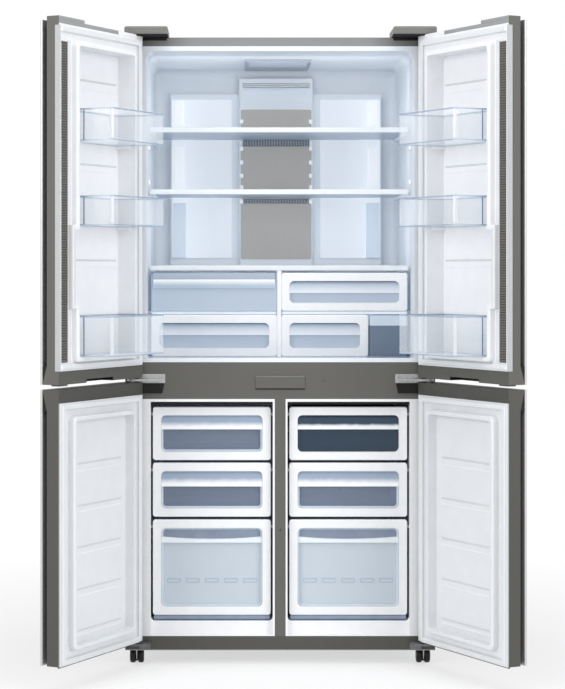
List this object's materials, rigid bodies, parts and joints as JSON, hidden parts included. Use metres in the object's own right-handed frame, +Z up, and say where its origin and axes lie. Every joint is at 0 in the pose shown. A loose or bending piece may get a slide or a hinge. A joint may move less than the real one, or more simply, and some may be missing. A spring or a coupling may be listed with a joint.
{
  "type": "refrigerator",
  "caption": "Tall grey refrigerator with hinged doors standing open over a shelved fridge compartment, clear door bins and white-fronted freezer drawers.",
  "frame": {"origin": "on the floor, at the middle of the area that the refrigerator covers with its doors open as in the picture", "axes": "+X to the viewer's right, +Y to the back, +Z up; it faces -Y"},
  "size_m": [1.3064, 1.1172, 1.83],
  "materials": {
    "side_paint": "satin grey enamel on steel sheet",
    "galvanised": "galvanised steel sheet",
    "foam": "rigid polyurethane foam",
    "liner_white": "vacuum-formed white polystyrene",
    "rail_paint": "satin grey enamel on steel rails",
    "hinge_steel": "zinc-plated pressed steel",
    "dark_plastic": "moulded dark grey ABS",
    "duct_white": "moulded white polystyrene",
    "plate_metal": "brushed aluminium plate",
    "diffuser": "frosted white acrylic",
    "shelf_glass": "tempered glass with white trims",
    "compressor_black": "black enamel on steel",
    "fin_aluminium": "plain aluminium fins and tubes",
    "door_skin": "silver-grey coated steel",
    "frame_paint": "grey moulded frame",
    "seal_rubber": "soft light grey magnetic seal",
    "clear_plastic": "clear polystyrene",
    "drawer_white": "white front, clear basket",
    "tank_blue": "dark blue clear plastic",
    "caster_black": "black nylon"
  },
  "bodies": {
    "cabinet": {"cabinet_shell": "side_paint", "back_panel": "galvanised", "machine_cover": "galvanised", "base_pan": "galvanised", "insulation": "foam", "fridge_liner": "liner_white", "freezer_liner": "liner_white", "front_rails": "rail_paint", "hinges": "hinge_steel", "hinge_covers": "dark_plastic", "air_ducts": "duct_white", "cooling_plates": "plate_metal", "light_covers": "diffuser", "drawer_shelf": "shelf_glass", "drawer_divider": "liner_white", "freezer_back_cover": "liner_white", "compressor": "compressor_black", "condenser": "fin_aluminium", "evaporator": "fin_aluminium", "fan_motor": "dark_plastic"},
    "right_upper_door": {"right_upper_door_panel": "door_skin", "right_upper_door_body": "frame_paint", "right_upper_door_liner": "liner_white", "right_upper_door_gasket": "seal_rubber"},
    "right_lower_door": {"right_lower_door_panel": "door_skin", "right_lower_door_body": "frame_paint", "right_lower_door_liner": "liner_white", "right_lower_door_gasket": "seal_rubber"},
    "right_top_door_bin": {"right_top_door_bin": "clear_plastic"},
    "right_middle_door_bin": {"right_middle_door_bin": "clear_plastic"},
    "right_bottom_door_bin": {"right_bottom_door_bin": "clear_plastic"},
    "right_top_freezer_drawer": {"right_top_freezer_drawer": "drawer_white"},
    "right_middle_freezer_drawer": {"right_middle_freezer_drawer": "drawer_white"},
    "right_bottom_freezer_drawer": {"right_bottom_freezer_drawer": "drawer_white"},
    "right_caster": {"right_caster": "caster_black"},
    "right_roller": {"right_roller": "caster_black"},
    "left_upper_door": {"left_upper_door_panel": "door_skin", "left_upper_door_body": "frame_paint", "left_upper_door_liner": "liner_white", "left_upper_door_gasket": "seal_rubber"},
    "left_lower_door": {"left_lower_door_panel": "door_skin", "left_lower_door_body": "frame_paint", "left_lower_door_liner": "liner_white", "left_lower_door_gasket": "seal_rubber"},
    "left_top_door_bin": {"left_top_door_bin": "clear_plastic"},
    "left_middle_door_bin": {"left_middle_door_bin": "clear_plastic"},
    "left_bottom_door_bin": {"left_bottom_door_bin": "clear_plastic"},
    "left_top_freezer_drawer": {"left_top_freezer_drawer": "drawer_white"},
    "left_middle_freezer_drawer": {"left_middle_freezer_drawer": "drawer_white"},
    "left_bottom_freezer_drawer": {"left_bottom_freezer_drawer": "drawer_white"},
    "left_caster": {"left_caster": "caster_black"},
    "left_roller": {"left_roller": "caster_black"},
    "upper_shelf": {"upper_shelf": "shelf_glass"},
    "lower_shelf": {"lower_shelf": "shelf_glass"},
    "upper_right_fridge_drawer": {"upper_right_fridge_drawer": "drawer_white"},
    "upper_left_fridge_case": {"upper_left_fridge_case": "clear_plastic"},
    "lower_left_fridge_drawer": {"lower_left_fridge_drawer": "drawer_white"},
    "lower_right_fridge_drawer": {"lower_right_fridge_drawer": "drawer_white"},
    "water_tank": {"water_tank": "tank_blue"},
    "freezer_fan": {"freezer_fan": "dark_plastic"}
  },
  "joints": [
    {"name": "right_upper_door_hinge", "type": "hinge", "parent": "cabinet", "child": "right_upper_door", "pos_m": [0.424, -0.17285, 1.316], "axis": [0, 0, 1], "range_deg": [-117.7, 25.3]},
    {"name": "right_lower_door_hinge", "type": "hinge", "parent": "cabinet", "child": "right_lower_door", "pos_m": [0.424, -0.17285, 0.4425], "axis": [0, 0, 1], "range_deg": [-117.7, 25.3]},
    {"name": "right_top_door_bin_lift", "type": "slide", "parent": "right_upper_door", "child": "right_top_door_bin", "axis": [0, 0, 1], "range_m": [0, 0.015]},
    {"name": "right_middle_door_bin_lift", "type": "slide", "parent": "right_upper_door", "child": "right_middle_door_bin", "axis": [0, 0, 1], "range_m": [0, 0.015]},
    {"name": "right_bottom_door_bin_lift", "type": "slide", "parent": "right_upper_door", "child": "right_bottom_door_bin", "axis": [0, 0, 1], "range_m": [0, 0.015]},
    {"name": "right_top_freezer_drawer_slide", "type": "slide", "parent": "cabinet", "child": "right_top_freezer_drawer", "axis": [0, -1, 0], "range_m": [0, 0.33]},
    {"name": "right_middle_freezer_drawer_slide", "type": "slide", "parent": "cabinet", "child": "right_middle_freezer_drawer", "axis": [0, -1, 0], "range_m": [0, 0.33]},
    {"name": "right_bottom_freezer_drawer_slide", "type": "slide", "parent": "cabinet", "child": "right_bottom_freezer_drawer", "axis": [0, -1, 0], "range_m": [0, 0.26]},
    {"name": "right_caster_axle", "type": "hinge", "parent": "cabinet", "child": "right_caster", "pos_m": [0.413, -0.11185, 0.022], "axis": [1, 0, 0], "continuous": true},
    {"name": "right_roller_axle", "type": "hinge", "parent": "cabinet", "child": "right_roller", "pos_m": [0.4, 0.50015, 0.022], "axis": [1, 0, 0], "continuous": true},
    {"name": "left_upper_door_hinge", "type": "hinge", "parent": "cabinet", "child": "left_upper_door", "pos_m": [-0.424, -0.17285, 1.316], "axis": [0, 0, -1], "range_deg": [-117.7, 25.3]},
    {"name": "left_lower_door_hinge", "type": "hinge", "parent": "cabinet", "child": "left_lower_door", "pos_m": [-0.424, -0.17285, 0.4425], "axis": [0, 0, -1], "range_deg": [-117.7, 25.3]},
    {"name": "left_top_door_bin_lift", "type": "slide", "parent": "left_upper_door", "child": "left_top_door_bin", "axis": [0, 0, 1], "range_m": [0, 0.015]},
    {"name": "left_middle_door_bin_lift", "type": "slide", "parent": "left_upper_door", "child": "left_middle_door_bin", "axis": [0, 0, 1], "range_m": [0, 0.015]},
    {"name": "left_bottom_door_bin_lift", "type": "slide", "parent": "left_upper_door", "child": "left_bottom_door_bin", "axis": [0, 0, 1], "range_m": [0, 0.015]},
    {"name": "left_top_freezer_drawer_slide", "type": "slide", "parent": "cabinet", "child": "left_top_freezer_drawer", "axis": [0, -1, 0], "range_m": [0, 0.33]},
    {"name": "left_middle_freezer_drawer_slide", "type": "slide", "parent": "cabinet", "child": "left_middle_freezer_drawer", "axis": [0, -1, 0], "range_m": [0, 0.33]},
    {"name": "left_bottom_freezer_drawer_slide", "type": "slide", "parent": "cabinet", "child": "left_bottom_freezer_drawer", "axis": [0, -1, 0], "range_m": [0, 0.26]},
    {"name": "left_caster_axle", "type": "hinge", "parent": "cabinet", "child": "left_caster", "pos_m": [-0.413, -0.11185, 0.022], "axis": [1, 0, 0], "continuous": true},
    {"name": "left_roller_axle", "type": "hinge", "parent": "cabinet", "child": "left_roller", "pos_m": [-0.4, 0.50015, 0.022], "axis": [1, 0, 0], "continuous": true},
    {"name": "upper_shelf_slide", "type": "slide", "parent": "cabinet", "child": "upper_shelf", "axis": [0, -1, 0], "range_m": [0, 0.22]},
    {"name": "lower_shelf_slide", "type": "slide", "parent": "cabinet", "child": "lower_shelf", "axis": [0, -1, 0], "range_m": [0, 0.33]},
    {"name": "upper_right_fridge_drawer_slide", "type": "slide", "parent": "cabinet", "child": "upper_right_fridge_drawer", "axis": [0, -1, 0], "range_m": [0, 0.33]},
    {"name": "upper_left_fridge_case_slide", "type": "slide", "parent": "cabinet", "child": "upper_left_fridge_case", "axis": [0, -1, 0], "range_m": [0, 0.33]},
    {"name": "lower_left_fridge_drawer_slide", "type": "slide", "parent": "cabinet", "child": "lower_left_fridge_drawer", "axis": [0, -1, 0], "range_m": [0, 0.22]},
    {"name": "lower_right_fridge_drawer_slide", "type": "slide", "parent": "cabinet", "child": "lower_right_fridge_drawer", "axis": [0, -1, 0], "range_m": [0, 0.33]},
    {"name": "water_tank_slide", "type": "slide", "parent": "cabinet", "child": "water_tank", "axis": [0, -1, 0], "range_m": [0, 0.22]},
    {"name": "freezer_fan_shaft", "type": "hinge", "parent": "cabinet", "child": "freezer_fan", "pos_m": [0, 0.39715, 0.655], "axis": [0, 1, 0], "continuous": true}
  ]
}
